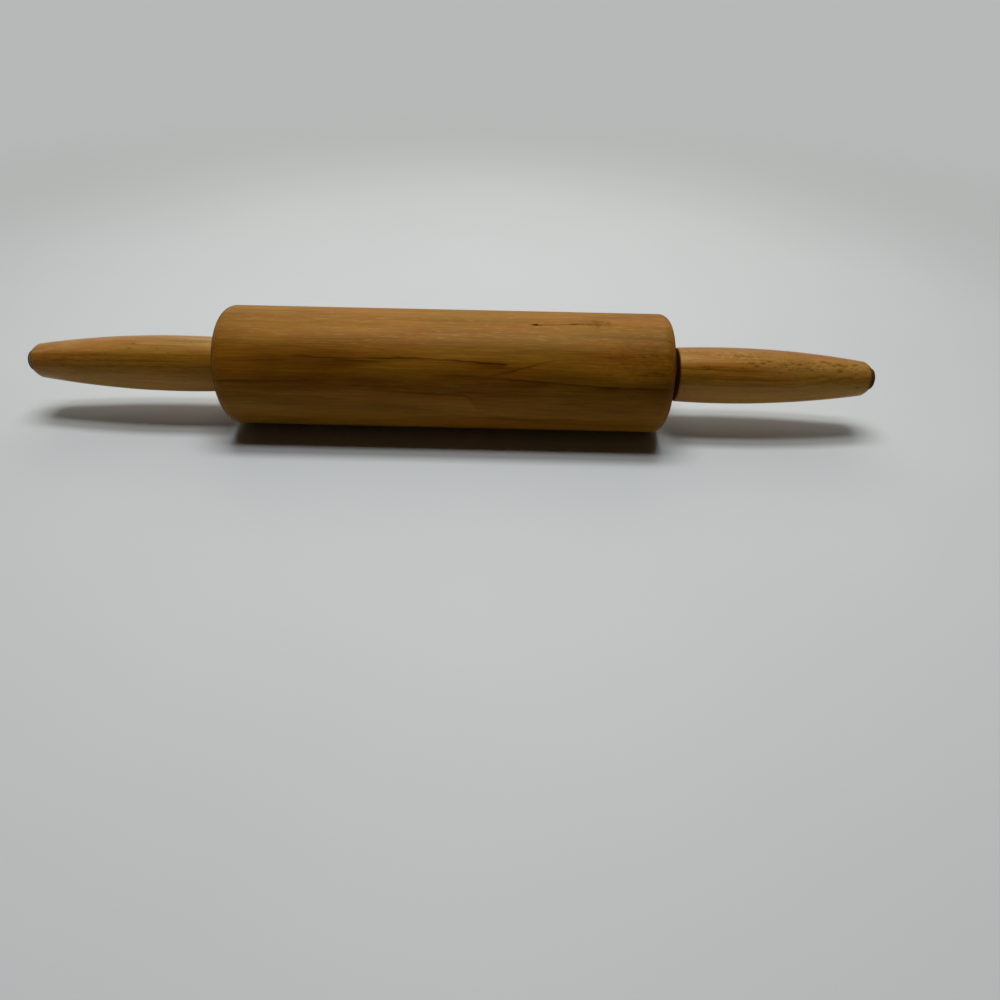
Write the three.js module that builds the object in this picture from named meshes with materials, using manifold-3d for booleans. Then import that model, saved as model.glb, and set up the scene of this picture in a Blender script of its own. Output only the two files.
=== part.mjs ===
import * as THREE from 'three';
import { mergeVertices } from 'three/addons/utils/BufferGeometryUtils.js';
import Module from 'manifold-3d';

// A wooden rolling pin whose barrel turns on two ball bearings and can float a little along
// the axle between its two fixed handles. Millimetres, X along the pin, Z up, origin on the
// table under the middle of the axle. The barrel rests at the left end of its float.

// Fits
const PRESS_GAP = 0.05;
const THREAD_GAP = 0.1;
const BALL_GAP = 0.12;
const RUNNING_GAP = 0.3;
const STOP_GAP = 0.3;
const FLOAT_TRAVEL = 3.3;

// Barrel; an even number of sides puts a flat strip on the table
const BARREL_LENGTH = 254;
const BARREL_RADIUS = 34;
const BARREL_EDGE_ROUND = 6.6;
const BARREL_BORE_ROOM = 2.25;
const BARREL_SIDES = 60;

// Axle with a shoulder and a thinner threaded end inside each handle
const AXLE_RADIUS = 4.75;
const AXLE_END_RADIUS = 2.4;
const AXLE_STAND_OUT = 0.6;

// Ball bearing in each end of the barrel
const BALL_COUNT = 7;
const BALL_RADIUS = 1.985;
const CONE_WALL = 0.785;
const CONE_PROUD = 0.6;
const CUP_WALL = 1.05;
const CUP_WIDTH = 7.1;
const CUP_RECESS = 0.3;
const CAGE_THICKNESS = 1.5;
const CAGE_ROOM = 0.45;
const SHIELD_THICKNESS = 0.5;
const SHIELD_RECESS = 0.2;

// Thrust washer on each handle's inner face
const THRUST_WASHER_RADIUS = 8.5;
const THRUST_WASHER_THICKNESS = 1.5;

// Handle, swelling in one long curve and chamfered at the tip
const HANDLE_LENGTH = 113.4;
const HANDLE_MAX_RADIUS = 16.2;
const HANDLE_MAX_AT = 27.2;
const HANDLE_TIP_RADIUS = 9.7;
const HANDLE_CHAMFER_LENGTH = 3.2;
const HANDLE_EDGE_ROUND = 1.2;
const HANDLE_SOCKET_DEPTH = 30;
const HANDLE_SIDES = 40;

// Nut, washer and wooden button in the pocket at the handle's tip
const NUT_CORNER_RADIUS = 4.62;
const NUT_THICKNESS = 4;
const NUT_WASHER_THICKNESS = 1;
const POCKET_ROOM = 0.58;
const POCKET_RIM = 1;
const BUTTON_HEAD_THICKNESS = 1.2;
const BUTTON_EDGE_ROUND = 1;
const BUTTON_SHANK_LENGTH = 5.5;
const BUTTON_ROOM = 0.9;

// Facets
const ROUND_STEPS = 4;
const HANDLE_STEPS = 11;
const RING_SIDES = 30;

// Radii that follow from the pieces inside one another
const BARREL_BORE_RADIUS = AXLE_RADIUS + BARREL_BORE_ROOM;
const CONE_BORE_RADIUS = AXLE_RADIUS + RUNNING_GAP;
const BALL_REACH = BALL_RADIUS + BALL_GAP;
const BALL_PITCH_RADIUS = CONE_BORE_RADIUS + CONE_WALL + BALL_REACH;
const CUP_OUTER_RADIUS = BALL_PITCH_RADIUS + BALL_REACH + CUP_WALL;
const CAGE_INNER_RADIUS = BALL_PITCH_RADIUS - CAGE_THICKNESS / 2;
const CAGE_OUTER_RADIUS = BALL_PITCH_RADIUS + CAGE_THICKNESS / 2;
const CONE_LAND_RADIUS = CAGE_INNER_RADIUS - CAGE_ROOM;
const CUP_LAND_RADIUS = CAGE_OUTER_RADIUS + CAGE_ROOM;
const POCKET_RADIUS = NUT_CORNER_RADIUS + POCKET_ROOM;
const HANDLE_END_RADIUS = POCKET_RADIUS + POCKET_RIM;

// Lengths that follow from the pieces stacked along the axle
const CAGE_WIDTH = CUP_WIDTH - 2 * (SHIELD_THICKNESS + SHIELD_RECESS + RUNNING_GAP);
const NUT_STACK = NUT_WASHER_THICKNESS + NUT_THICKNESS + AXLE_STAND_OUT;
const POCKET_DEPTH = NUT_STACK + BUTTON_ROOM + BUTTON_SHANK_LENGTH;
const HANDLE_FACE_GAP = THRUST_WASHER_THICKNESS + STOP_GAP + CONE_PROUD;

// Places along the pin, measured outwards from the middle of the axle or of the barrel
const HANDLE_FACE_AT = (BARREL_LENGTH + FLOAT_TRAVEL) / 2 + HANDLE_FACE_GAP;
const HANDLE_END_AT = HANDLE_FACE_AT + HANDLE_LENGTH;
const SHOULDER_AT = HANDLE_FACE_AT + HANDLE_SOCKET_DEPTH;
const POCKET_FLOOR_AT = HANDLE_END_AT - POCKET_DEPTH;
const NUT_AT = POCKET_FLOOR_AT + NUT_WASHER_THICKNESS;
const AXLE_END_AT = POCKET_FLOOR_AT + NUT_STACK;
const BARREL_END_AT = BARREL_LENGTH / 2;
const CUP_FACE_AT = BARREL_END_AT - CUP_RECESS;
const CUP_FLOOR_AT = CUP_FACE_AT - CUP_WIDTH;
const BALLS_AT = CUP_FACE_AT - CUP_WIDTH / 2;
const BARREL_REST_SHIFT = -FLOAT_TRAVEL / 2;
const AXIS_HEIGHT = BARREL_RADIUS * Math.cos(Math.PI / BARREL_SIDES);

const wasm = await Module();
wasm.setup();

const wood = new THREE.MeshStandardMaterial({ color: 0x9b6c36, roughness: 0.5, metalness: 0 });
const handleWood = new THREE.MeshStandardMaterial({ color: 0x97683a, roughness: 0.45, metalness: 0 });
const steel = new THREE.MeshStandardMaterial({ color: 0xb4b4b0, roughness: 0.35, metalness: 1 });
const zinc = new THREE.MeshStandardMaterial({ color: 0xa7a9a4, roughness: 0.45, metalness: 1 });
const redFibre = new THREE.MeshStandardMaterial({ color: 0x4a1c12, roughness: 0.85, metalness: 0 });

// Points of a quarter round from the angle given, in degrees, about a centre in the profile plane
function quarterRound(radius, along, round, fromDegrees) {
  const points = [];
  for (let i = 0; i <= ROUND_STEPS; i += 1) {
    const angle = THREE.MathUtils.degToRad(fromDegrees + (90 * i) / ROUND_STEPS);
    points.push([radius + round * Math.cos(angle), along + round * Math.sin(angle)]);
  }
  return points;
}

// Turned solid: pairs of radius and distance along the axle, anticlockwise, with a flat side down
function turned(profile, sides) {
  const points = profile.map(([radius, along]) => new THREE.Vector2(radius, along));
  return new THREE.LatheGeometry(points, sides, Math.PI / sides, 2 * Math.PI);
}

// Turned ring: the profile closes on itself
function turnedRing(profile, sides) {
  return turned([...profile, profile[0]], sides);
}

function plainRing(inner, outer, from, to, sides) {
  return turnedRing([[inner, from], [outer, from], [outer, to], [inner, to]], sides);
}

function toManifold(geometry) {
  const bare = geometry.clone();
  bare.deleteAttribute('normal');
  bare.deleteAttribute('uv');
  const merged = mergeVertices(bare);
  const vertProperties = new Float32Array(merged.attributes.position.array);
  const triVerts = new Uint32Array(merged.index.array);
  return new wasm.Manifold(new wasm.Mesh({ numProp: 3, vertProperties, triVerts }));
}

function fromManifold(solid) {
  const mesh = solid.getMesh();
  const geometry = new THREE.BufferGeometry();
  geometry.setAttribute('position', new THREE.BufferAttribute(mesh.vertProperties, 3));
  geometry.setIndex(new THREE.BufferAttribute(mesh.triVerts, 1));
  geometry.computeVertexNormals();
  return geometry;
}

function node(name, geometry, material) {
  const mesh = new THREE.Mesh(geometry, material);
  mesh.name = name;
  return mesh;
}

function barrelGeometry() {
  const seat = CUP_OUTER_RADIUS + PRESS_GAP;
  const flat = BARREL_RADIUS - BARREL_EDGE_ROUND;
  const bend = BARREL_END_AT - BARREL_EDGE_ROUND;
  return turnedRing([
    [BARREL_BORE_RADIUS, -CUP_FLOOR_AT],
    [seat, -CUP_FLOOR_AT],
    [seat, -BARREL_END_AT],
    ...quarterRound(flat, -bend, BARREL_EDGE_ROUND, -90),
    ...quarterRound(flat, bend, BARREL_EDGE_ROUND, 0),
    [seat, BARREL_END_AT],
    [seat, CUP_FLOOR_AT],
    [BARREL_BORE_RADIUS, CUP_FLOOR_AT],
  ], BARREL_SIDES);
}

function axleGeometry() {
  return turned([
    [0, -AXLE_END_AT],
    [AXLE_END_RADIUS, -AXLE_END_AT],
    [AXLE_END_RADIUS, -SHOULDER_AT],
    [AXLE_RADIUS, -SHOULDER_AT],
    [AXLE_RADIUS, SHOULDER_AT],
    [AXLE_END_RADIUS, SHOULDER_AT],
    [AXLE_END_RADIUS, AXLE_END_AT],
    [0, AXLE_END_AT],
  ], RING_SIDES);
}

// Radius of the handle's long curve at a distance from its inner face
function handleRadius(distance) {
  const toTip = HANDLE_LENGTH - HANDLE_CHAMFER_LENGTH - HANDLE_MAX_AT;
  const fall = ((distance - HANDLE_MAX_AT) / toTip) ** 2;
  return HANDLE_MAX_RADIUS - (HANDLE_MAX_RADIUS - HANDLE_TIP_RADIUS) * fall;
}

function handleGeometry() {
  const swell = [];
  const swellLength = HANDLE_LENGTH - HANDLE_CHAMFER_LENGTH - HANDLE_EDGE_ROUND;
  for (let i = 1; i <= HANDLE_STEPS; i += 1) {
    const distance = HANDLE_EDGE_ROUND + (swellLength * i) / HANDLE_STEPS;
    swell.push([handleRadius(distance), HANDLE_FACE_AT + distance]);
  }
  const edge = handleRadius(HANDLE_EDGE_ROUND) - HANDLE_EDGE_ROUND;
  const socket = AXLE_RADIUS + PRESS_GAP;
  const bore = AXLE_END_RADIUS + RUNNING_GAP;
  return turnedRing([
    [socket, HANDLE_FACE_AT],
    ...quarterRound(edge, HANDLE_FACE_AT + HANDLE_EDGE_ROUND, HANDLE_EDGE_ROUND, -90),
    ...swell,
    [HANDLE_END_RADIUS, HANDLE_END_AT],
    [POCKET_RADIUS, HANDLE_END_AT],
    [POCKET_RADIUS, POCKET_FLOOR_AT],
    [bore, POCKET_FLOOR_AT],
    [bore, SHOULDER_AT],
    [socket, SHOULDER_AT],
  ], HANDLE_SIDES);
}

function nutGeometry() {
  const hexagon = new THREE.Shape();
  for (let i = 0; i < 6; i += 1) {
    const angle = (Math.PI * i) / 3;
    const x = NUT_CORNER_RADIUS * Math.cos(angle);
    const y = NUT_CORNER_RADIUS * Math.sin(angle);
    if (i === 0) hexagon.moveTo(x, y);
    else hexagon.lineTo(x, y);
  }
  hexagon.closePath();
  const hole = new THREE.Path();
  hole.absarc(0, 0, AXLE_END_RADIUS + THREAD_GAP, 0, 2 * Math.PI, true);
  hexagon.holes.push(hole);
  const options = { depth: NUT_THICKNESS, bevelEnabled: false, curveSegments: 24 };
  const geometry = new THREE.ExtrudeGeometry(hexagon, options);
  geometry.rotateX(-Math.PI / 2);
  geometry.translate(0, NUT_AT, 0);
  return geometry;
}

function buttonGeometry() {
  const shank = POCKET_RADIUS - PRESS_GAP;
  const top = HANDLE_END_AT + BUTTON_HEAD_THICKNESS;
  return turned([
    [0, HANDLE_END_AT - BUTTON_SHANK_LENGTH],
    [shank, HANDLE_END_AT - BUTTON_SHANK_LENGTH],
    [shank, HANDLE_END_AT],
    [HANDLE_END_RADIUS, HANDLE_END_AT],
    ...quarterRound(HANDLE_END_RADIUS - BUTTON_EDGE_ROUND, top - BUTTON_EDGE_ROUND, BUTTON_EDGE_ROUND, 0),
    [0, top],
  ], HANDLE_SIDES);
}

// Ball groove of a bearing ring, from the land on one side to the land on the other
function groove(land, outward) {
  const half = Math.acos(Math.abs(land - BALL_PITCH_RADIUS) / BALL_REACH);
  const points = [];
  for (let i = 0; i <= ROUND_STEPS; i += 1) {
    const angle = half * ((2 * i) / ROUND_STEPS - 1);
    const along = BALLS_AT - outward * BALL_REACH * Math.sin(angle);
    points.push([BALL_PITCH_RADIUS + outward * BALL_REACH * Math.cos(angle), along]);
  }
  return points;
}

function cupGeometry() {
  return turnedRing([
    [CUP_LAND_RADIUS, CUP_FLOOR_AT],
    [CUP_OUTER_RADIUS, CUP_FLOOR_AT],
    [CUP_OUTER_RADIUS, CUP_FACE_AT],
    [CUP_LAND_RADIUS, CUP_FACE_AT],
    ...groove(CUP_LAND_RADIUS, 1),
  ], RING_SIDES);
}

function coneGeometry() {
  const back = CUP_FLOOR_AT + RUNNING_GAP;
  const face = BARREL_END_AT + CONE_PROUD;
  return turnedRing([
    [CONE_BORE_RADIUS, back],
    [CONE_LAND_RADIUS, back],
    ...groove(CONE_LAND_RADIUS, -1),
    [CONE_LAND_RADIUS, face],
    [CONE_BORE_RADIUS, face],
  ], RING_SIDES);
}

function ballPlace(index) {
  const angle = (2 * Math.PI * index) / BALL_COUNT;
  const x = BALL_PITCH_RADIUS * Math.sin(angle);
  return new THREE.Vector3(x, BALLS_AT, BALL_PITCH_RADIUS * Math.cos(angle));
}

function cageGeometry() {
  const from = BALLS_AT - CAGE_WIDTH / 2;
  const ring = plainRing(CAGE_INNER_RADIUS, CAGE_OUTER_RADIUS, from, from + CAGE_WIDTH, RING_SIDES);
  let cage = toManifold(ring);
  for (let i = 0; i < BALL_COUNT; i += 1) {
    const pocket = new THREE.SphereGeometry(BALL_REACH, 10, 6);
    const place = ballPlace(i);
    pocket.translate(place.x, place.y, place.z);
    cage = cage.subtract(toManifold(pocket));
  }
  return fromManifold(cage);
}

function shieldGeometry() {
  const inner = CONE_LAND_RADIUS + RUNNING_GAP;
  const to = CUP_FACE_AT - SHIELD_RECESS;
  const outer = CUP_LAND_RADIUS - PRESS_GAP;
  return plainRing(inner, outer, to - SHIELD_THICKNESS, to, RING_SIDES);
}

// One end's pieces lie in a group whose own Y axis points outwards along the pin
function endGroup(side) {
  const group = new THREE.Group();
  group.rotation.z = side === 'right' ? -Math.PI / 2 : Math.PI / 2;
  return group;
}

const rollingPin = new THREE.Group();
rollingPin.position.z = AXIS_HEIGHT;

const axle = node('axle', axleGeometry(), steel);
axle.rotation.z = -Math.PI / 2;
rollingPin.add(axle);

const barrelGroup = new THREE.Group();
barrelGroup.position.x = BARREL_REST_SHIFT;
rollingPin.add(barrelGroup);

const barrel = node('barrel', barrelGeometry(), wood);
barrel.rotation.z = -Math.PI / 2;
barrelGroup.add(barrel);

for (const side of ['left', 'right']) {
  const handleEnd = endGroup(side);
  const washerFrom = HANDLE_FACE_AT - THRUST_WASHER_THICKNESS;
  const thrustWasher = plainRing(
    AXLE_RADIUS + RUNNING_GAP,
    THRUST_WASHER_RADIUS,
    washerFrom,
    HANDLE_FACE_AT,
    RING_SIDES,
  );
  const nutWasher = plainRing(
    AXLE_END_RADIUS + RUNNING_GAP,
    POCKET_RADIUS - RUNNING_GAP,
    POCKET_FLOOR_AT,
    NUT_AT,
    RING_SIDES,
  );
  handleEnd.add(node(`${side}_handle`, handleGeometry(), handleWood));
  handleEnd.add(node(`${side}_thrust_washer`, thrustWasher, redFibre));
  handleEnd.add(node(`${side}_nut_washer`, nutWasher, zinc));
  handleEnd.add(node(`${side}_nut`, nutGeometry(), zinc));
  handleEnd.add(node(`${side}_tip_button`, buttonGeometry(), handleWood));
  rollingPin.add(handleEnd);

  const bearingEnd = endGroup(side);
  bearingEnd.add(node(`${side}_bearing_cup`, cupGeometry(), steel));
  bearingEnd.add(node(`${side}_bearing_cone`, coneGeometry(), steel));
  bearingEnd.add(node(`${side}_ball_cage`, cageGeometry(), zinc));
  bearingEnd.add(node(`${side}_dust_shield`, shieldGeometry(), zinc));
  for (let i = 0; i < BALL_COUNT; i += 1) {
    const ball = node(`${side}_ball_${i + 1}`, new THREE.SphereGeometry(BALL_RADIUS, 10, 6), steel);
    ball.position.copy(ballPlace(i));
    bearingEnd.add(ball);
  }
  barrelGroup.add(bearingEnd);
}

export default rollingPin;
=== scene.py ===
import math
import random

import bmesh
import bpy
import numpy as np
from mathutils import Matrix, Vector


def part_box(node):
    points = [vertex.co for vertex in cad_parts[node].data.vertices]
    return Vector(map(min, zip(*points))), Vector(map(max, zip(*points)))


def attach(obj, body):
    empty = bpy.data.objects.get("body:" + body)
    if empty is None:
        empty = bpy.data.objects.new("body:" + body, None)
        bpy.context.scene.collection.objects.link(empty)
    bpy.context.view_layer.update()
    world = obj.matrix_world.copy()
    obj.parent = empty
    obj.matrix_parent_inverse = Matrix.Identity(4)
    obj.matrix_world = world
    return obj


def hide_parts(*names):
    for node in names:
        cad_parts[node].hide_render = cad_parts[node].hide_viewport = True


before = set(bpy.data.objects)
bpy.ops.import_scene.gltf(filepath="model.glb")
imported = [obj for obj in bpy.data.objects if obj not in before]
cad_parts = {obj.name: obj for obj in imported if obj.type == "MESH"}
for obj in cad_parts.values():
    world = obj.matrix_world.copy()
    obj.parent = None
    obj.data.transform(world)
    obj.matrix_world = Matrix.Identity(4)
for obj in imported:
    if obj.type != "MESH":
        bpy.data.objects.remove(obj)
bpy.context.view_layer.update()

MM = 0.001

# Clearances between pieces
RUNNING_GAP = 0.3 * MM
PRESS_GAP = 0.05 * MM
BUTTON_GAP = 0.1 * MM

# Boxes read from the frame, in metres
BARREL_LOW, BARREL_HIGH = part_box("barrel")
CUP_LOW, CUP_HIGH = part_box("right_bearing_cup")
_, AXLE_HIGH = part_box("axle")
WASHER_LOW, WASHER_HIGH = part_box("right_thrust_washer")
HANDLE_LOW, HANDLE_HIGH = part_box("right_handle")
NUT_WASHER_LOW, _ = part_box("right_nut_washer")
BUTTON_LOW, BUTTON_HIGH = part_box("right_tip_button")

# The barrel, with a seat for a bearing cup in each end
AXIS_HEIGHT = (BARREL_LOW.z + BARREL_HIGH.z) / 2
BARREL_RADIUS = BARREL_HIGH.y
BARREL_MIDDLE = (BARREL_LOW.x + BARREL_HIGH.x) / 2
BARREL_HALF = (BARREL_HIGH.x - BARREL_LOW.x) / 2
BARREL_EDGE_ROUND = 6.6 * MM
BARREL_BORE = 7.0 * MM
CUP_SEAT_RADIUS = CUP_HIGH.y + PRESS_GAP
CUP_SEAT_FLOOR = CUP_LOW.x - BARREL_MIDDLE - PRESS_GAP

# The axle, which steps down to a thinner end inside each handle
AXLE_RADIUS = AXLE_HIGH.y
AXLE_END = AXLE_HIGH.x
AXLE_END_RADIUS = 2.4 * MM

# The handles, whose swell is measured from the face that looks at the barrel
HANDLE_FACE = HANDLE_LOW.x
HANDLE_END = HANDLE_HIGH.x
HANDLE_LENGTH = HANDLE_END - HANDLE_FACE
HANDLE_MAX_RADIUS = HANDLE_HIGH.y
HANDLE_MAX_AT = 27.2 * MM
HANDLE_TIP_RADIUS = 9.7 * MM
HANDLE_EDGE_ROUND = 1.2 * MM
HANDLE_WAVE = 0.05 * MM
HANDLE_SOCKET_DEPTH = 30.0 * MM
HANDLE_SHOULDER = HANDLE_FACE + HANDLE_SOCKET_DEPTH
POCKET_RADIUS = 5.2 * MM
POCKET_FLOOR = NUT_WASHER_LOW.x

# The chamfer at each tip, worn back from its edge and rounded
HANDLE_CHAMFER = 3.2 * MM
TIP_WEAR = 1.3 * MM
TIP_BULGE = 0.4 * MM
WORN_CHAMFER = HANDLE_CHAMFER + TIP_WEAR

# The button in each tip, and the washer between each handle and the barrel
BUTTON_RADIUS = BUTTON_HIGH.y
BUTTON_ROUND = 1.0 * MM
WASHER_EDGE_ROUND = 0.3 * MM

# Limits for cleaning and shading the meshes
SAME_PLACE = 1e-7
NO_AREA = 1e-14
SHARP_EDGE = math.radians(35)


# Turned shapes
def arc(centre_x, centre_r, radius, start, end, steps):
    """Profile points of a round edge, with angles in degrees from the axis direction +X."""
    angles = [math.radians(start + (end - start) * i / steps) for i in range(steps + 1)]
    return [(centre_x + radius * math.cos(a), centre_r + radius * math.sin(a)) for a in angles]


def divided(points, longest):
    """The same profile with points added, so that no step is longer than the length given."""
    dense = [points[0]]
    for (x0, r0), (x1, r1) in zip(points, points[1:]):
        count = max(1, math.ceil(math.hypot(x1 - x0, r1 - r0) / longest))
        for i in range(1, count + 1):
            dense.append((x0 + (x1 - x0) * i / count, r0 + (r1 - r0) * i / count))
    return dense


def mirrored(points, sign):
    """A right-hand profile as it is, or turned round for the left end."""
    return points if sign > 0 else [(-x, r) for x, r in reversed(points)]


def ring_faces(count, segments):
    """Four-sided faces from each ring of points to the next, and from the last to the first."""
    here = np.arange(count)[:, None] * segments
    there = ((np.arange(count) + 1) % count)[:, None] * segments
    j = np.arange(segments)[None, :]
    k = (j + 1) % segments
    return np.stack([here + j, here + k, there + k, there + j], axis=2).reshape(-1, 4)


def clean(mesh):
    """Joins points that meet, takes out faces without area, turns all faces outward and shades them."""
    work = bmesh.new()
    work.from_mesh(mesh)
    bmesh.ops.remove_doubles(work, verts=work.verts, dist=SAME_PLACE)
    flat = [face for face in work.faces if face.calc_area() < NO_AREA]
    bmesh.ops.delete(work, geom=flat, context="FACES_ONLY")
    bmesh.ops.recalc_face_normals(work, faces=work.faces)
    work.to_mesh(mesh)
    work.free()
    mesh.polygons.foreach_set("use_smooth", [True] * len(mesh.polygons))
    mesh.set_sharp_from_angle(angle=SHARP_EDGE)


def turned(name, profile, segments, relief=None):
    """A closed profile swept about the pin's axis.

    relief, if there is one, gives how far each point moves in, and how stained it is.
    """
    rings = np.array(profile[:-1])
    turns = np.arange(segments) * 2 * math.pi / segments
    x = np.repeat(rings[:, :1], segments, axis=1)
    radius = np.repeat(rings[:, 1:], segments, axis=1)
    wear = np.zeros_like(radius)
    if relief:
        depth, wear = relief(x, np.broadcast_to(turns, radius.shape), radius)
        radius = radius - depth
    y = -radius * np.cos(turns)
    z = AXIS_HEIGHT + radius * np.sin(turns)
    verts = np.stack([x, y, z], axis=2).reshape(-1, 3)
    mesh = bpy.data.meshes.new(name)
    mesh.from_pydata(verts.tolist(), [], ring_faces(len(rings), segments).tolist())
    stains = mesh.attributes.new("wear", "FLOAT", "POINT")
    stains.data.foreach_set("value", wear.reshape(-1).astype(np.float32))
    clean(mesh)
    piece = bpy.data.objects.new(name, mesh)
    bpy.context.scene.collection.objects.link(piece)
    return piece


def dented(marks, least_radius, wave):
    """Relief made of dents, and of a slow waviness as deep as wave.

    Each mark is (along, degrees up from the viewer's side, half length, half width, depth, stain).
    Points nearer the axis than least_radius stay where they are.
    """
    def relief(x, turn, radius):
        outside = radius > least_radius
        ripple = np.sin(150 * x + 2 * turn) * np.sin(3 * turn + 60 * x)
        depth = wave * (1 + ripple) / 2
        wear = np.zeros_like(radius)
        for along, degrees, half_length, half_width, dent, stain in marks:
            across = np.mod(turn - math.radians(degrees) + math.pi, 2 * math.pi) - math.pi
            near = np.exp(-((x - along) / half_length) ** 2 - (radius * across / half_width) ** 2)
            depth = depth + dent * near
            wear = np.maximum(wear, stain * near)
        return depth * outside, wear * outside
    return relief


# Materials
def srgb(red, green, blue):
    """A colour written as the 0 to 255 numbers of a screen, as linear values."""
    def linear(c):
        c /= 255
        return c / 12.92 if c <= 0.04045 else ((c + 0.055) / 1.055) ** 2.4
    return (linear(red), linear(green), linear(blue), 1.0)


class Graph:
    """Short calls for building a material's nodes."""

    def __init__(self, name):
        self.material = bpy.data.materials.new(name)
        self.material.use_nodes = True
        self.tree = self.material.node_tree
        self.shader = self.tree.nodes["Principled BSDF"]

    def set(self, socket, value):
        """Links a socket to another node's output, or gives it a constant."""
        if isinstance(value, bpy.types.NodeSocket):
            self.tree.links.new(value, socket)
        elif value is not None:
            socket.default_value = value

    def node(self, kind, **settings):
        made = self.tree.nodes.new(kind)
        for key, value in settings.items():
            setattr(made, key, value)
        return made

    def math(self, operation, a, b=None, c=None, clamp=False):
        made = self.node("ShaderNodeMath", operation=operation, use_clamp=clamp)
        for socket, value in zip(made.inputs, (a, b, c)):
            self.set(socket, value)
        return made.outputs[0]

    def chain(self, operation, values):
        """One operation on all the values, from the first to the last."""
        result = values[0]
        for value in values[1:]:
            result = self.math(operation, result, value)
        return result

    def add(self, *values):
        return self.chain("ADD", values)

    def times(self, *values):
        return self.chain("MULTIPLY", values)

    def most(self, *values):
        return self.chain("MAXIMUM", values)

    def vector(self, x, y, z):
        made = self.node("ShaderNodeCombineXYZ")
        for socket, value in zip(made.inputs, (x, y, z)):
            self.set(socket, value)
        return made.outputs[0]

    def split(self, vector):
        made = self.node("ShaderNodeSeparateXYZ")
        self.set(made.inputs[0], vector)
        return made.outputs

    def noise(self, vector, scale=1.0, detail=2.0, roughness=0.55):
        made = self.node("ShaderNodeTexNoise")
        self.set(made.inputs["Vector"], vector)
        made.inputs["Scale"].default_value = scale
        made.inputs["Detail"].default_value = detail
        made.inputs["Roughness"].default_value = roughness
        return made.outputs["Fac"]

    def span(self, value, low, high, to_low=0.0, to_high=1.0, shape="SMOOTHSTEP"):
        """A value moved from one range to another and held inside it, with soft ends."""
        made = self.node("ShaderNodeMapRange", interpolation_type=shape)
        ends = {"From Min": low, "From Max": high, "To Min": to_low, "To Max": to_high}
        for key, number in ends.items():
            made.inputs[key].default_value = number
        self.set(made.inputs["Value"], value)
        return made.outputs["Result"]

    def linear(self, value, low, high, to_low=0.0, to_high=1.0):
        """The same, with straight sides."""
        return self.span(value, low, high, to_low, to_high, "LINEAR")

    def ramp(self, value, stops):
        """Colours at places from 0 to 1."""
        made = self.node("ShaderNodeValToRGB")
        elements = made.color_ramp.elements
        while len(elements) < len(stops):
            elements.new(0.5)
        for element, (place, colour) in zip(elements, stops):
            element.position = place
            element.color = colour
        self.set(made.inputs[0], value)
        return made.outputs[0]

    def mix(self, factor, a, b, blend="MIX"):
        """A blend of two colours, for which the node keeps inputs 6 and 7 and output 2."""
        made = self.node("ShaderNodeMix", data_type="RGBA", blend_type=blend)
        self.set(made.inputs["Factor"], factor)
        self.set(made.inputs[6], a)
        self.set(made.inputs[7], b)
        return made.outputs[2]

    def curve(self, value, points):
        """A smooth curve through points whose coordinates lie from 0 to 1."""
        made = self.node("ShaderNodeFloatCurve")
        line = made.mapping.curves[0]
        while len(line.points) < len(points):
            line.points.new(0.5, 0.5)
        for point, place in zip(line.points, points):
            point.location = place
            point.handle_type = "AUTO_CLAMPED"
        made.mapping.update()
        self.set(made.inputs["Value"], value)
        return made.outputs[0]

    def bump(self, height, depth, strength):
        made = self.node("ShaderNodeBump")
        made.inputs["Strength"].default_value = strength
        made.inputs["Distance"].default_value = depth
        self.set(made.inputs["Height"], height)
        self.set(self.shader.inputs["Normal"], made.outputs[0])


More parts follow.
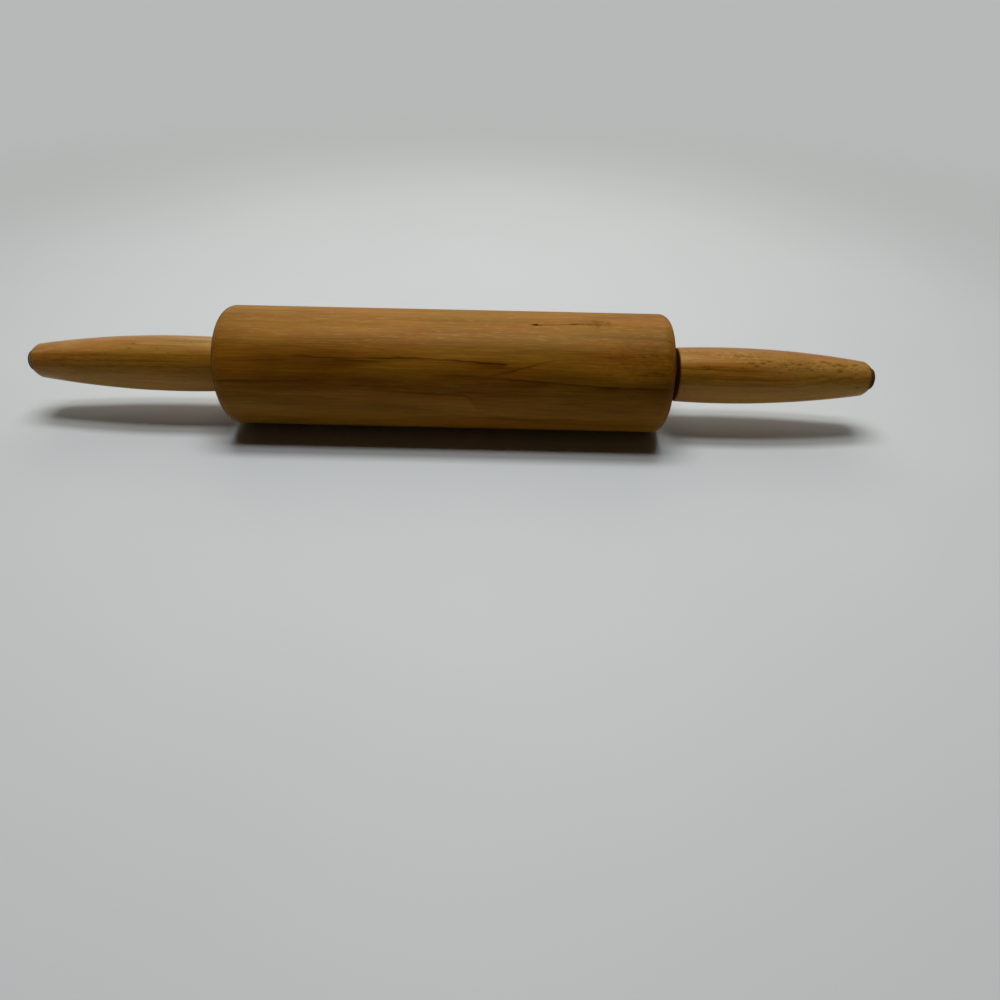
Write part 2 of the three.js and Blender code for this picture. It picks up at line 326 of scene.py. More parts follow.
class Wood(Graph):
    """Hardwood with its grain along the pin. Its coordinates are millimetres from the axle."""

    def __init__(self, name, seed):
        super().__init__(name)
        self.seed = seed
        self.coordinate = self.node("ShaderNodeTexCoord")
        place = self.node("ShaderNodeVectorMath", operation="SCALE")
        self.set(place.inputs[0], self.coordinate.outputs["Object"])
        place.inputs["Scale"].default_value = 1 / MM
        self.along, self.depth, height = self.split(place.outputs[0])
        self.up = self.math("SUBTRACT", height, AXIS_HEIGHT / MM)
        toward = self.times(self.depth, -1.0)
        self.angle = self.math("DEGREES", self.math("ARCTAN2", self.up, toward))

    def streaks(self, length, width, offset, detail=2.0):
        """Noise drawn out along the pin, with marks of about that length and width in millimetres.

        offset keeps one set of streaks apart from the next.
        """
        vector = self.vector(
            self.math("MULTIPLY_ADD", self.along, 1 / length, self.seed + offset),
            self.times(self.depth, 1 / width),
            self.times(self.up, 1 / width),
        )
        return self.noise(vector, detail=detail)

    def rings(self, pith_depth, pith_up, lean_depth, lean_up, ring_width):
        """Growth rings about a leaning pith that lies off the axis, so that they run out on the surface."""
        beside = self.math("SUBTRACT", self.depth, pith_depth)
        above = self.math("SUBTRACT", self.up, pith_up)
        from_depth = self.math("MULTIPLY_ADD", self.along, -lean_depth, beside)
        from_up = self.math("MULTIPLY_ADD", self.along, -lean_up, above)
        squares = self.add(self.math("POWER", from_depth, 2.0), self.math("POWER", from_up, 2.0))
        wander = self.linear(self.streaks(130, 45, 3.1), 0, 1, -5, 5)
        reach = self.add(self.math("SQRT", squares), wander)
        phase = self.math("FRACT", self.math("DIVIDE", reach, ring_width))
        rise = self.span(phase, 0.25, 0.92)
        fall = self.span(phase, 0.93, 1.0, 1, 0)
        return self.times(rise, fall, self.span(self.streaks(170, 16, 11.0), 0.4, 0.65))

    def along_curve(self, points):
        """A value that follows points of (along, value), in order from left to right."""
        first, last = points[0][0], points[-1][0]
        margin = 0.01
        low = min(value for _, value in points) - margin
        high = max(value for _, value in points) + margin
        track = [((x - first) / (last - first), (value - low) / (high - low)) for x, value in points]
        return self.linear(self.curve(self.linear(self.along, first, last), track), 0, 1, low, high)

    def line(self, points, half_width, tail):
        """Darkness of a grain line through points of (along, degrees, strength).

        Below the line it fades out over tail degrees.
        """
        centre = self.along_curve([(x, angle) for x, angle, _ in points])
        strength = self.along_curve([(x, dark) for x, _, dark in points])
        ragged = self.linear(self.streaks(9, 400, 21.0), 0.3, 0.7, -0.45, 0.45)
        away = self.add(self.math("SUBTRACT", self.angle, centre), ragged)
        fade = 1.6 * half_width
        above = self.span(away, 0.0, fade, 1, 0)
        core = self.times(above, self.span(away, -fade, 0.0))
        soft = self.times(above, self.math("POWER", self.span(away, -tail, 0.0), 2.0), 0.45)
        return self.times(self.most(core, soft), strength)

    def spot(self, along, degrees, half_length, half_width):
        """1 inside a small ragged mark, whose half width is in degrees, and 0 outside it."""
        lengthwise = self.times(self.math("SUBTRACT", self.along, along), 1 / half_length)
        across = self.times(self.math("SUBTRACT", self.angle, degrees), 1 / half_width)
        squares = self.add(self.times(lengthwise, lengthwise), self.times(across, across))
        ragged = self.linear(self.streaks(2.2, 1.1, 25.0), 0.2, 0.8, -0.6, 0.6)
        return self.span(self.add(self.math("SQRT", squares), ragged), 0.3, 1.3, 1, 0)

    def between(self, value, low, high, soft):
        """1 where a value lies between two limits, fading out over a soft edge."""
        return self.times(
            self.span(value, low - soft, low + soft),
            self.span(value, high - soft, high + soft, 1, 0),
        )

    def stretch(self, low, high, soft):
        """1 between two places along the pin."""
        return self.between(self.along, low, high, soft)

    def band(self, low, high, soft):
        """1 between two angles round the pin."""
        return self.between(self.angle, low, high, soft)

    def wear(self):
        """The stain of the dents, which the mesh carries."""
        return self.node("ShaderNodeAttribute", attribute_name="wear").outputs["Fac"]

    def end_grain(self, low, high):
        """How far the surface turns to face along the pin, which cuts across the fibres."""
        across = self.split(self.coordinate.outputs["Normal"])[0]
        return self.span(self.math("ABSOLUTE", across), low, high)


# Colours that all the wood shares
# The pale colour serves for bleached wood and for the painted highlights.
PALE_WOOD_AND_HIGHLIGHT = srgb(170, 130, 76)
# The end colour is dark red: end grain, and painted shade on the handles' inner faces in the gaps.
END_GRAIN_AND_GAP_SHADE = srgb(62, 20, 11)
GREENER = (0.95, 1.04, 0.85, 1)
REDDER = (1.05, 0.97, 0.95, 1)
WOOD_SHEEN = (1.0, 0.84, 0.54, 1)


def finish_wood(wood, tone, shade, pale, tints, deep, *, grain, roughness, specular, end_dark):
    """The wood's colour, gloss and relief.

    tone picks a colour from tints, pale bleaches it and paints highlights, and shade darkens it to deep.
    grain is how much the fibres show in the colour, and end_dark is how much darker the ends are.
    """
    fibre = wood.streaks(24, 0.9, 8.3, 3.0)
    hair = wood.streaks(6.5, 0.4, 2.9)
    coarse = wood.linear(fibre, 0, 1, -grain, grain)
    fine = wood.linear(hair, 0, 1, -0.6 * grain, 0.6 * grain)
    tone = wood.math("ADD", tone, wood.add(coarse, fine), clamp=True)
    colour = wood.ramp(tone, [(i / (len(tints) - 1), tint) for i, tint in enumerate(tints)])
    hue = wood.span(wood.streaks(45, 14, 31.0), 0.35, 0.65)
    colour = wood.mix(1.0, colour, wood.mix(hue, GREENER, REDDER), "MULTIPLY")
    colour = wood.mix(pale, colour, PALE_WOOD_AND_HIGHLIGHT)
    colour = wood.mix(shade, colour, deep)
    end = wood.end_grain(0.6, 0.98)
    # Ends darker: end grain, and on the handles painted shade in the gaps by the barrel.
    colour = wood.mix(wood.times(end, end_dark), colour, END_GRAIN_AND_GAP_SHADE)
    wood.set(wood.shader.inputs["Base Color"], colour)
    gloss = wood.linear(fibre, 0, 1, roughness - 0.06, roughness + 0.06)
    dull = wood.add(wood.times(end, 0.4), wood.times(shade, 0.5))
    wood.set(wood.shader.inputs["Roughness"], wood.math("ADD", gloss, dull, clamp=True))
    dry = wood.most(shade, wood.times(wood.end_grain(0.3, 0.65), end_dark))
    sheen = wood.linear(dry, 0, 0.7, specular, 0.1 * specular)
    wood.set(wood.shader.inputs["Specular IOR Level"], sheen)
    wood.shader.inputs["Specular Tint"].default_value = WOOD_SHEEN
    relief = wood.add(fibre, wood.times(hair, 0.6), wood.times(shade, -0.8))
    wood.bump(relief, depth=0.05 * MM, strength=0.3)
    return wood.material


# Grain lines on the barrel: points of (millimetres along, degrees up from the viewer's side, strength),
# then half width and soft tail in degrees
LONG_LINE = (
    ((-86, 38.2, 0.0), (-66, 37.6, 0.55), (-48, 37.5, 0.35), (-36, 37.7, 0.7), (-18, 38.4, 0.75),
     (-6, 37.7, 0.5), (8, 36.6, 0.7), (22, 35.1, 0.85), (29, 34.5, 0.9), (34, 34.0, 0.0)),
    1.0, 7.0,
)
LOW_STRAND = (
    ((-66, 35.9, 0.0), (-56, 35.4, 0.55), (-42, 34.9, 0.6), (-32, 34.6, 0.0)),
    0.9, 3.0,
)
LOWER_LINE = (
    ((-8, 24.0, 0.0), (8, 23.2, 0.45), (24, 22.0, 0.4), (50, 19.4, 0.75), (60, 18.4, 0.55),
     (78, 16.4, 0.5), (91, 15.4, 0.9), (99, 15.1, 0.5), (110, 14.7, 0.55), (122, 14.4, 0.35),
     (126, 14.3, 0.0)),
    1.0, 10.0,
)
BRANCH_LINE = (
    ((22, 23.4, 0.0), (30, 26.0, 0.35), (38, 29.5, 0.55), (46, 33.4, 0.5), (54, 37.2, 0.35),
     (70, 40.2, 0.0)),
    0.9, 3.0,
)
ARCH_LINE = (
    ((-45, 8.0, 0.0), (-8, 5.4, 0.3), (10, 4.6, 0.35), (15, -2.6, 0.3), (17.5, -12, 0.0)),
    1.2, 4.0,
)
LEFT_LINE = (
    ((-128, 13.5, 0.3), (-116, 14.6, 0.45), (-89, 15.7, 0.45), (-60, 16.6, 0.0)),
    0.9, 6.0,
)
TOP_LINE = (
    ((44, 76.2, 0.0), (50, 76.4, 0.5), (66, 77.7, 0.4), (74, 78.6, 0.4), (92, 79.2, 0.0)),
    1.1, 2.0,
)
GRAIN_LINES = (LONG_LINE, LOW_STRAND, LOWER_LINE, BRANCH_LINE, ARCH_LINE, LEFT_LINE, TOP_LINE)

# Dark marks in the barrel's top streak: along, degrees, half length, half width in degrees, strength
TOP_MARKS = ((48.5, 76.4, 3.0, 1.5, 0.9), (69.5, 78.0, 4.0, 1.1, 0.7))
TOP_PATCH = (83.0, 79.5, 9.0, 7.0, 0.34)

# Partly wood colour and partly painted shade and painted light: the top is darker all along, the lower
# front paler at the right.
# Broad darker or paler areas on the barrel: along from and to, degrees from and to, change of tone
BARREL_PATCHES = (
    (-105, -48, 24, 48, 0.2),
    (48, 106, 0, 16, -0.2),
    (-32, 52, 60, 68, 0.12),
    (64, 100, 76, 96, 0.12),
    (100, 145, 30, 60, 0.2),
    (-145, -108, 36, 100, 0.14),
    (98, 145, 68, 105, 0.14),
    (-145, 145, 62, 110, 0.05),
)


def barrel_tone(wood):
    """Light and dark areas: broad streaks, rings, painted shade, mottling, the arch and the patches above.
    """
    rings = wood.rings(pith_depth=70.0, pith_up=-25.0, lean_depth=0.02, lean_up=0.05, ring_width=4.6)
    broad = wood.linear(wood.streaks(95, 9, 5.7), 0, 1, 0.0, 0.7)
    patchy = wood.span(wood.streaks(140, 20, 44.0), 0.3, 0.6, 0.55, 1.0)
    # Painted shade: darker over the viewer's side from -40 to 66 degrees, and more from 8 to 40, in
    # patches.
    painted_shade_bands = wood.add(wood.band(8, 40, 9), wood.times(wood.band(-40, 66, 9), 1.05))
    painted_shade_band = wood.times(painted_shade_bands, patchy, 0.2)
    mottled = wood.times(wood.stretch(84, 140, 10), wood.band(24, 58, 8))
    mottle = wood.times(wood.linear(wood.streaks(4, 1.8, 61.0), 0.3, 0.7, -0.12, 0.12), mottled)
    arch = wood.along_curve([(x, angle) for x, angle, _ in ARCH_LINE[0]])
    inside = wood.times(
        wood.span(wood.math("SUBTRACT", arch, wood.angle), -1.2, 1.2),
        wood.band(-14, 30, 8),
        wood.span(wood.along, -70, 0),
        wood.span(wood.along, 16, 19, 1, 0),
    )
    tone = wood.add(broad, wood.times(rings, 0.18), painted_shade_band, mottle, wood.times(inside, -0.14))
    for low, high, angle_low, angle_high, change in BARREL_PATCHES:
        area = wood.times(wood.stretch(low, high, 14), wood.band(angle_low, angle_high, 8))
        tone = wood.add(tone, wood.times(area, change))
    return tone


def barrel_shade(wood):
    """Dark marks: pores, the grain lines, and the stains near the top."""
    shade = wood.times(wood.span(wood.streaks(3.5, 0.5, 14.2, 1.0), 0.70, 0.78), 0.2)
    for points, half_width, tail in GRAIN_LINES:
        shade = wood.most(shade, wood.line(points, half_width, tail))
    shade = wood.times(shade, wood.span(wood.streaks(11, 1.4, 6.6), 0.25, 0.55, 0.55, 1.0))
    for along, degrees, half_length, half_width, strength in TOP_MARKS:
        mark = wood.times(wood.spot(along, degrees, half_length, half_width), strength)
        shade = wood.most(shade, mark)
    along, degrees, half_length, half_width, strength = TOP_PATCH
    flecked = wood.span(wood.streaks(2.2, 2.2, 55.0), 0.35, 0.6, 0.2, 1.0)
    patch = wood.times(wood.spot(along, degrees, half_length, half_width), flecked, strength)
    return wood.most(shade, patch)


def barrel_pale(wood):
    """Paler places: a painted highlight along the top with short dashes in it, and the bruise."""
    dashes = wood.span(wood.streaks(8, 0.7, 51.0, 1.0), 0.58, 0.72)
    # Painted highlight: the top from 52 to 104 degrees is made paler, with pale dashes in it.
    pale_and_painted_highlight = wood.add(wood.times(dashes, 0.4), 0.12)
    return wood.most(wood.times(pale_and_painted_highlight, wood.band(52, 104, 9)), wood.times(wood.wear(), 0.5))


def barrel_wood():
    """Honey brown hardwood with a satin face."""
    wood = Wood("barrel_hardwood", 17.0)
    tints = (srgb(160, 112, 44), srgb(141, 94, 25), srgb(115, 72, 8), srgb(86, 49, 1))
    return finish_wood(
        wood, barrel_tone(wood), barrel_shade(wood), barrel_pale(wood), tints, srgb(46, 23, 0),
        grain=0.32, roughness=0.5, specular=0.1, end_dark=0.15)


def tip_rim(wood, sign):
    """How far out each point is over the worn chamfer: 0 at its start and 1 at the button."""
    outward = wood.times(wood.along, sign)
    return wood.linear(outward, (HANDLE_END - WORN_CHAMFER) / MM, HANDLE_END / MM)


def handle_wood(name, seed, pith, sign, painted_shade_low, rim_dark):
    """What the materials of both handles share: nodes, tone, shade and tip_rim.

    pith is where the rings' middle lies and how it leans. Painted shade darkens a band from the
    given low angle up to 50 degrees, painted floor light makes the wood below it paler, and rim_dark
    is how dark the chamfer is.
    """
    wood = Wood(name, seed)
    rings = wood.rings(*pith, ring_width=3.4)
    broad = wood.linear(wood.streaks(70, 6, 5.7), 0, 1, 0.05, 0.65)
    # Painted shade in a band up to 50 degrees, and painted light from the floor below it.
    painted_shade_band = wood.times(wood.band(painted_shade_low, 50, 8), 0.26)
    painted_floor_light = wood.times(wood.band(-80, painted_shade_low - 8, 8), -0.25)
    tone = wood.add(broad, wood.times(rings, 0.26), painted_shade_band, painted_floor_light)
    shade = wood.times(wood.span(wood.streaks(3.0, 0.45, 14.2, 1.0), 0.68, 0.76), 0.25)
    rim = tip_rim(wood, sign)
    ragged = wood.add(rim, wood.linear(wood.streaks(2.0, 1.6, 71.0), 0, 1, -0.7, 0.7))
    dirt = wood.times(wood.span(ragged, 0.1, 0.6), rim_dark)
    return wood, tone, wood.most(shade, wood.times(wood.wear(), 0.7), dirt), rim


HANDLE_TINTS = (srgb(165, 117, 52), srgb(146, 99, 31), srgb(120, 76, 10), srgb(88, 51, 1))


def left_handle_wood():
    """The better kept handle, with a painted highlight along its top and a thin pale line round its tip."""
    wood, tone, shade, rim = handle_wood(
        "left_handle_hardwood", 41.0, pith=(30.0, 60.0, 0.03, -0.02),
        sign=-1, painted_shade_low=16, rim_dark=0.6)
    # Painted highlight: paler streaks along the top, from 54 to 102 degrees.
    streaky = wood.span(wood.streaks(40, 2.0, 88.0), 0.45, 0.65, 0.2, 0.65)
    painted_highlight = wood.times(streaky, wood.band(54, 102, 9))
    ring = wood.span(rim, 0.5, 0.6)
    shade = wood.times(shade, wood.linear(ring, 0, 1, 1, 0))
    pale = wood.most(wood.times(ring, 0.7), painted_highlight)
    return finish_wood(
        wood, tone, shade, pale, HANDLE_TINTS, srgb(44, 21, 4),
        grain=0.36, roughness=0.3, specular=0.18, end_dark=0.85)


def right_handle_wood():
    """The worn handle: scuffed along its upper front, bleached by rubbing, with painted light and a painted
    highlight.
    """
    wood, tone, shade, _ = handle_wood(
        "right_handle_hardwood", 63.0, pith=(-20.0, 55.0, -0.02, 0.03),
        sign=1, painted_shade_low=15, rim_dark=0.85)
    # Painted light: paler below 74 degrees.
    tone = wood.add(tone, wood.times(wood.band(-90, 74, 8), -0.1))
    scuffed = wood.times(wood.band(42, 72, 6), wood.stretch(180, 238, 10))
    grit = wood.span(wood.streaks(2.2, 1.0, 81.0, 3.0), 0.52, 0.62)
    bruise = wood.spot(145.5, 43.0, 4.0, 7.0)
    shade = wood.most(shade, wood.times(grit, scuffed, 0.42), wood.times(bruise, 0.35))
    # Pale spots along the highlight's band, partly rubbed wood and partly painted highlight.
    pale_and_painted_highlight = wood.times(wood.band(58, 84, 6), wood.stretch(150, 176, 6))
    spots = wood.span(wood.streaks(3.4, 1.6, 91.0, 2.0), 0.48, 0.62)
    dry = wood.times(wood.band(34, 84, 8), wood.stretch(178, 250, 14))
    pale = wood.most(wood.times(spots, pale_and_painted_highlight, 0.6), wood.times(dry, 0.22))
    return finish_wood(
        wood, tone, shade, pale, HANDLE_TINTS, srgb(74, 42, 9),
        grain=0.4, roughness=0.32, specular=0.18, end_dark=0.85)


def button_wood():
    """Dark end grain, darker than the handle round it."""
    wood = Wood("button_hardwood", 93.0)
    tone = wood.linear(wood.streaks(30, 1.6, 5.7), 0, 1, 0.1, 0.9)
    shade = wood.span(wood.streaks(3.0, 2.0, 14.2), 0.3, 0.7, 0.25, 0.7)
    pale = wood.times(wood.span(wood.streaks(2.0, 0.6, 64.0), 0.5, 0.7), 0.2)
    tints = (srgb(124, 92, 46), srgb(104, 74, 32), srgb(84, 58, 20), srgb(66, 44, 14))
    return finish_wood(
        wood, tone, shade, pale, tints, srgb(46, 30, 12),
        grain=0.4, roughness=0.75, specular=0.08, end_dark=0.2)


def steel(name, colour, roughness, brushing):
    """Steel with slight tarnish and fine marks, which lie closer along the pin with more brushing."""
    graph = Graph(name)
    coordinate = graph.node("ShaderNodeTexCoord")
    scaled = graph.node("ShaderNodeVectorMath", operation="MULTIPLY")
    graph.set(scaled.inputs[0], coordinate.outputs["Object"])
    across = 200
    scaled.inputs[1].default_value = (brushing, across, across)
    marks = graph.noise(scaled.outputs[0], detail=3.0)
    patches = graph.noise(coordinate.outputs["Object"], scale=260.0, detail=3.0)
    dull = tuple(c * 0.6 for c in colour[:3]) + (1,)
    graph.set(graph.shader.inputs["Base Color"], graph.mix(graph.span(patches, 0.4, 0.75), colour, dull))
    graph.shader.inputs["Metallic"].default_value = 1.0
    gloss = graph.linear(marks, 0, 1, roughness - 0.1, roughness + 0.15)
    graph.set(graph.shader.inputs["Roughness"], gloss)
    graph.bump(marks, depth=0.02 * MM, strength=0.2)
    return graph.material


def fibre_board():
    """Dark red pressed fibre with a slightly mottled matt face, made dark partly as painted shade for the
    gaps.
    """
    graph = Graph("red_fibre")
    coordinate = graph.node("ShaderNodeTexCoord")
    mottle = graph.noise(coordinate.outputs["Object"], scale=1400.0, detail=4.0)
    graph.set(graph.shader.inputs["Base Color"], graph.mix(mottle, srgb(52, 15, 9), srgb(74, 24, 15)))
    graph.set(graph.shader.inputs["Roughness"], graph.linear(mottle, 0, 1, 0.75, 0.95))
    graph.shader.inputs["Specular IOR Level"].default_value = 0.2
    graph.bump(mottle, depth=0.05 * MM, strength=0.3)
    return graph.material


def place(piece, body, slot, material, *nodes):
    """Gives a piece its material and its body, and hides the nodes that it stands for. slot is not used."""
    piece.data.materials.append(material)
    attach(piece, body)
    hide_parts(*nodes)


# Barrel
def barrel_dents(scattered, seed):
    """One small bruise on the viewer's side, and slight ones elsewhere that only bend the light."""
    pick = random.Random(seed)
    bruise = (-61.5 * MM, 62.4, 0.8 * MM, 0.8 * MM, 0.1 * MM, 1.0)
    marks = [bruise]
    clear_of_end = BARREL_HALF - 8 * MM
    for _ in range(scattered):
        along = pick.uniform(-clear_of_end, clear_of_end)
        size = pick.uniform(1.2, 2.2) * MM
        degrees = pick.uniform(100, 320)
        depth = pick.uniform(0.03, 0.06) * MM
        marks.append((along, degrees, size * 1.6, size, depth, 0.0))
    return marks


def make_barrel():
    """The barrel: round edges outside, then back through the cup seats and the bore."""
    flat = BARREL_RADIUS - BARREL_EDGE_ROUND
    bend = BARREL_HALF - BARREL_EDGE_ROUND
    outside = arc(-bend, flat, BARREL_EDGE_ROUND, 180, 90, steps=14)
    outside += arc(bend, flat, BARREL_EDGE_ROUND, 90, 0, steps=14)
    seat = [
        (BARREL_HALF, CUP_SEAT_RADIUS),
        (CUP_SEAT_FLOOR, CUP_SEAT_RADIUS),
        (CUP_SEAT_FLOOR, BARREL_BORE),
    ]
    back = [(-x, r) for x, r in reversed(seat)]
    profile = divided(outside + seat + back + outside[:1], longest=1.3 * MM)
    profile = [(x + BARREL_MIDDLE, r) for x, r in profile]
    relief = dented(barrel_dents(scattered=14, seed=8), least_radius=flat, wave=0.0)
    piece = turned("barrel_wood", profile, segments=300, relief=relief)
    place(piece, "barrel", "barrel_wood", barrel_wood(), "barrel")


# Handles
def handle_radius(distance):
    """Radius of the swell at a distance from the inner face: largest at HANDLE_MAX_AT, less each way."""
    fall = ((distance - HANDLE_MAX_AT) / (HANDLE_LENGTH - HANDLE_CHAMFER - HANDLE_MAX_AT)) ** 2
    return HANDLE_MAX_RADIUS - (HANDLE_MAX_RADIUS - HANDLE_TIP_RADIUS) * fall


def worn_chamfer(corner_x, corner_radius, steps):
    """Points from the swell's end to the button, bulging most halfway."""
    points = []
    for i in range(1, steps + 1):
        share = i / steps
        bulge = TIP_BULGE * 4 * share * (1 - share)
        radius = corner_radius + (BUTTON_RADIUS - corner_radius) * share + bulge
        points.append((corner_x + (HANDLE_END - corner_x) * share, radius))
    return points


def handle_profile(swell_steps):
    """Right-hand profile: inner face, swell and chamfer, then back through pocket, bore and socket."""
    socket = AXLE_RADIUS + PRESS_GAP
    bore = AXLE_END_RADIUS + RUNNING_GAP
    swell_end = HANDLE_LENGTH - WORN_CHAMFER
    edge = handle_radius(HANDLE_EDGE_ROUND) - HANDLE_EDGE_ROUND
    points = [(HANDLE_FACE, socket)]
    points += arc(HANDLE_FACE + HANDLE_EDGE_ROUND, edge, HANDLE_EDGE_ROUND, 180, 90, steps=8)
    for i in range(1, swell_steps + 1):
        distance = HANDLE_EDGE_ROUND + (swell_end - HANDLE_EDGE_ROUND) * i / swell_steps
        points.append((HANDLE_FACE + distance, handle_radius(distance)))
    points += worn_chamfer(*points[-1], steps=8)
    points += [(HANDLE_END, POCKET_RADIUS), (POCKET_FLOOR, POCKET_RADIUS), (POCKET_FLOOR, bore)]
    points += [(HANDLE_SHOULDER, bore), (HANDLE_SHOULDER, socket), (HANDLE_FACE, socket)]
    return points


# Dents of each handle seen in the photograph: (millimetres along, degrees up from the viewer's side)
RIGHT_DENTS = (
    (181.1, 60.6), (173.7, 49.3), (187.6, 51.4), (190.2, 54.6), (194.5, 59.2), (192.6, 43.2),
    (205.4, 45.5), (209.4, 56.6), (215.4, 66.7), (218.7, 61.4), (221.9, 65.3), (222.3, 45.7),
    (224.8, 62.1), (213.0, 70.3), (202.8, 50.3), (165.8, 44.7), (162.8, 74.1), (146.9, 40.1),
    (144.5, 44.5), (234.4, 0.5), (231.9, 72.1), (198.7, 57.3), (184.2, 48.5), (177.6, 55.8),
    (170.9, 54.8),
)
LEFT_DENTS = ((-180.0, 70.8), (-181.4, 57.9))


def handle_dents(seen, scattered, seed, stain):
    """Short scratches and pits: those seen, and smaller ones that gather round them."""
    pick = random.Random(seed)
    marks = []
    for along, degrees in seen:
        size = pick.uniform(0.4, 0.8) * MM
        length = size * pick.uniform(1.6, 3.0)
        depth = pick.uniform(0.1, 0.2) * MM
        marks.append((along * MM, degrees, length, size, depth, stain))
    for _ in range(scattered):
        along, degrees = pick.choice(seen)
        size = pick.uniform(0.3, 0.5) * MM
        along += pick.gauss(0, 5)
        degrees += pick.gauss(0, 6)
        depth = pick.uniform(0.04, 0.1) * MM
        marks.append((along * MM, degrees, size * 2, size, depth, 0.6 * stain))
    return marks


def make_handle(side, sign, material, marks):
    """A handle, with its relief on the outside only."""
    profile = divided(mirrored(handle_profile(swell_steps=60), sign), longest=0.6 * MM)
    relief = dented(marks, least_radius=POCKET_RADIUS * 1.1, wave=HANDLE_WAVE)
    piece = turned(f"{side}_handle_wood", profile, segments=260, relief=relief)
    place(piece, "spindle", "handle_wood", material, f"{side}_handle")


def make_button(side, sign, material):
    """The button that closes a handle's pocket: a shank, and a disc that stands out of the tip."""
    shank = POCKET_RADIUS - BUTTON_GAP
    round_x = BUTTON_HIGH.x - BUTTON_ROUND
    points = [(BUTTON_LOW.x, 0.0), (BUTTON_LOW.x, shank), (HANDLE_END, shank), (HANDLE_END, BUTTON_RADIUS)]
    points += arc(round_x, BUTTON_RADIUS - BUTTON_ROUND, BUTTON_ROUND, 90, 0, steps=8)
    points += [(BUTTON_HIGH.x, 0.0), (BUTTON_LOW.x, 0.0)]
    profile = divided(mirrored(points, sign), longest=0.5 * MM)
    piece = turned(f"{side}_button_wood", profile, segments=120)
    place(piece, "spindle", "handle_wood", material, f"{side}_tip_button")


# Axle and the pieces seen in the gaps
def make_axle(material):
    """The rod through the barrel, with its thinner ends in the handles."""
    half = [
        (HANDLE_SHOULDER, AXLE_RADIUS),
        (HANDLE_SHOULDER, AXLE_END_RADIUS),
        (AXLE_END, AXLE_END_RADIUS),
        (AXLE_END, 0.0),
    ]
    points = [(-x, r) for x, r in reversed(half)] + half + [(-AXLE_END, 0.0)]
    piece = turned("axle_rod", divided(points, longest=6 * MM), segments=64)
    place(piece, "spindle", "axle_steel", material, "axle")


def make_thrust_washer(side, sign, material):
    """A flat ring on the axle between a handle and the barrel, with slightly round edges."""
    inner = AXLE_RADIUS + RUNNING_GAP
    edge = WASHER_EDGE_ROUND
    edge_radius = WASHER_HIGH.y - edge
    points = [(WASHER_LOW.x, inner)]
    points += arc(WASHER_LOW.x + edge, edge_radius, edge, 180, 90, steps=4)
    points += arc(WASHER_HIGH.x - edge, edge_radius, edge, 90, 0, steps=4)
    points += [(WASHER_HIGH.x, inner), (WASHER_LOW.x, inner)]
    piece = turned(f"{side}_thrust_ring", mirrored(points, sign), segments=72)
    place(piece, "spindle", "red_fibre", material, f"{side}_thrust_washer")


def finish_bearings(bright, plated):
    """Steel for the bearing pieces and nuts, which keep their own shapes."""
    for name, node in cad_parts.items():
        dull = name.endswith(("nut", "nut_washer", "cage", "shield"))
        if dull or "bearing" in name or "_ball_" in name:
            node.data.materials.clear()
            node.data.materials.append(plated if dull else bright)


# Stage, in metres. The floor turns to plain paper over PAPER_REACH.
FLOOR_HALF = 60.0
FLOOR_COLOURS = (srgb(190, 195, 196), srgb(200, 204, 205))
PAPER_REACH = (0.4, 1.0)
PAPER = srgb(183, 185, 184)
ROOM_GLOW = (0.008, 0.0067, 0.0052, 1)
WHITE = (1, 1, 1)
WARM_WHITE = (1.0, 0.92, 0.82)

# Lamps that look at the pin: name, place, width, depth, power, colour
LAMPS = (
    ("front_strip", (0.0, -0.02, 1.15), 0.7, 0.16, 4.25, WHITE),
    ("back_strip", (0.0, 0.23, 1.13), 0.7, 0.2, 7.55, WHITE),
    ("high_fill", (0.0, 0.6, 1.1), 1.2, 0.5, 1.9, WARM_WHITE),
    ("behind", (0.0, 1.2, 0.9), 1.6, 0.6, 4.5, WARM_WHITE),
)

# The camera, found from the pin's outline and shadows
CAMERA_PLACE = (34.18 * MM, -353.38 * MM, AXIS_HEIGHT + 195.88 * MM)
CAMERA_YAW = math.radians(-0.586)
CAMERA_PITCH = math.radians(39.827)
CAMERA_ROLL = math.radians(0.995)
CAMERA_LENS = 24.343
CAMERA_SENSOR = 36.0
CAMERA_NEAR = 0.01


def seen_rays(graph):
    """1 for rays from the camera, and for those that carry a reflection or a view through glass."""
    path = graph.node("ShaderNodeLightPath")
    kinds = ("Is Camera Ray", "Is Glossy Ray", "Is Transmission Ray")
    return graph.most(*[path.outputs[kind] for kind in kinds])


def floor_material():
    """Pale, faintly clouded, and plain paper far from the pin for the rays that are seen."""
    graph = Graph("pale_floor")
    coordinate = graph.node("ShaderNodeTexCoord")
    cloud = graph.noise(coordinate.outputs["Object"], scale=3.0, detail=3.0)
    graph.set(graph.shader.inputs["Base Color"], graph.mix(cloud, *FLOOR_COLOURS))
    graph.shader.inputs["Roughness"].default_value = 0.6
    graph.shader.inputs["Specular IOR Level"].default_value = 0.2
    paper = graph.node("ShaderNodeEmission")
    paper.inputs["Color"].default_value = PAPER
    seen = seen_rays(graph)
    reach = graph.node("ShaderNodeVectorMath", operation="LENGTH")
    graph.set(reach.inputs[0], coordinate.outputs["Object"])
    blend = graph.node("ShaderNodeMixShader")
    graph.set(blend.inputs[0], graph.times(seen, graph.span(reach.outputs["Value"], *PAPER_REACH)))
    graph.set(blend.inputs[1], graph.shader.outputs[0])
    graph.set(blend.inputs[2], paper.outputs[0])
    graph.set(graph.tree.nodes["Material Output"].inputs["Surface"], blend.outputs[0])
    return graph.material


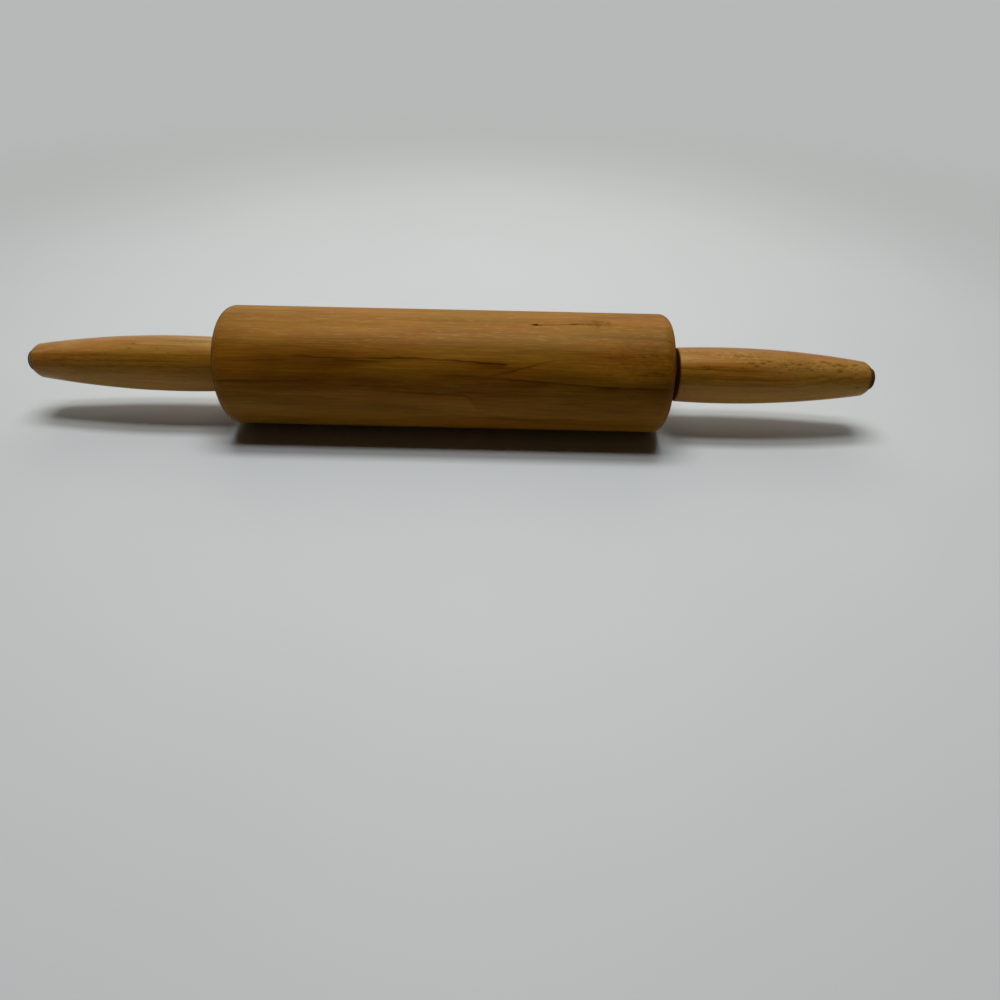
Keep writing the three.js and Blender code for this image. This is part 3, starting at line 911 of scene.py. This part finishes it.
def make_floor():
    """A large square under the pin."""
    mesh = bpy.data.meshes.new("floor")
    corners = [(-FLOOR_HALF, -FLOOR_HALF, 0), (FLOOR_HALF, -FLOOR_HALF, 0)]
    corners += [(FLOOR_HALF, FLOOR_HALF, 0), (-FLOOR_HALF, FLOOR_HALF, 0)]
    mesh.from_pydata(corners, [], [(0, 1, 2, 3)])
    floor = bpy.data.objects.new("floor", mesh)
    bpy.context.scene.collection.objects.link(floor)
    mesh.materials.append(floor_material())


def make_lamp(name, location, width, depth, power, colour):
    """A rectangular lamp that looks at the frame's origin."""
    lamp = bpy.data.lights.new(name, "AREA")
    lamp.color = colour
    lamp.shape = "RECTANGLE"
    lamp.size = width
    lamp.size_y = depth
    lamp.energy = power
    holder = bpy.data.objects.new(name, lamp)
    holder.location = location
    holder.rotation_euler = (-Vector(location)).to_track_quat("-Z", "Y").to_euler()
    bpy.context.scene.collection.objects.link(holder)


class RoomGraph(Graph):
    """The same short calls for the nodes of the world."""

    def __init__(self, name):
        self.world = bpy.data.worlds.new(name)
        self.world.use_nodes = True
        self.tree = self.world.node_tree
        self.backdrop = self.tree.nodes["Background"]


def make_light():
    """A dim room that looks like paper to the camera, and the lamps."""
    graph = RoomGraph("room")
    graph.set(graph.backdrop.inputs["Color"], graph.mix(seen_rays(graph), ROOM_GLOW, PAPER))
    bpy.context.scene.world = graph.world
    for lamp in LAMPS:
        make_lamp(*lamp)


def make_camera():
    """The camera, placed by its turn, its tilt down and its roll."""
    cos_yaw, sin_yaw = math.cos(CAMERA_YAW), math.sin(CAMERA_YAW)
    cos_pitch, sin_pitch = math.cos(CAMERA_PITCH), math.sin(CAMERA_PITCH)
    forward = Vector((sin_yaw * cos_pitch, cos_yaw * cos_pitch, -sin_pitch))
    level = Vector((cos_yaw, -sin_yaw, 0))
    above = level.cross(forward)
    right = math.cos(CAMERA_ROLL) * level + math.sin(CAMERA_ROLL) * above
    up = -math.sin(CAMERA_ROLL) * level + math.cos(CAMERA_ROLL) * above
    data = bpy.data.cameras.new("camera")
    data.lens = CAMERA_LENS
    data.sensor_width = CAMERA_SENSOR
    data.clip_start = CAMERA_NEAR
    camera = bpy.data.objects.new("camera", data)
    turn = Matrix((right, up, -forward)).transposed().to_4x4()
    camera.matrix_world = Matrix.Translation(CAMERA_PLACE) @ turn
    bpy.context.scene.collection.objects.link(camera)
    bpy.context.scene.camera = camera


# The whole pin on its stage
make_barrel()
bright_steel = steel("bright_steel", (0.62, 0.62, 0.6, 1), roughness=0.3, brushing=40)
plated_steel = steel("plated_steel", (0.5, 0.5, 0.47, 1), roughness=0.42, brushing=900)
red_fibre = fibre_board()
dark_wood = button_wood()
left_marks = handle_dents(LEFT_DENTS, scattered=0, seed=3, stain=0.6)
right_marks = handle_dents(RIGHT_DENTS, scattered=24, seed=5, stain=1.0)
make_handle("left", -1, left_handle_wood(), left_marks)
make_handle("right", 1, right_handle_wood(), right_marks)
make_button("left", -1, dark_wood)
make_button("right", 1, dark_wood)
make_axle(bright_steel)
make_thrust_washer("left", -1, red_fibre)
make_thrust_washer("right", 1, red_fibre)
finish_bearings(bright_steel, plated_steel)
make_floor()
make_light()
make_camera()
bpy.context.scene.view_settings.view_transform = "Standard"
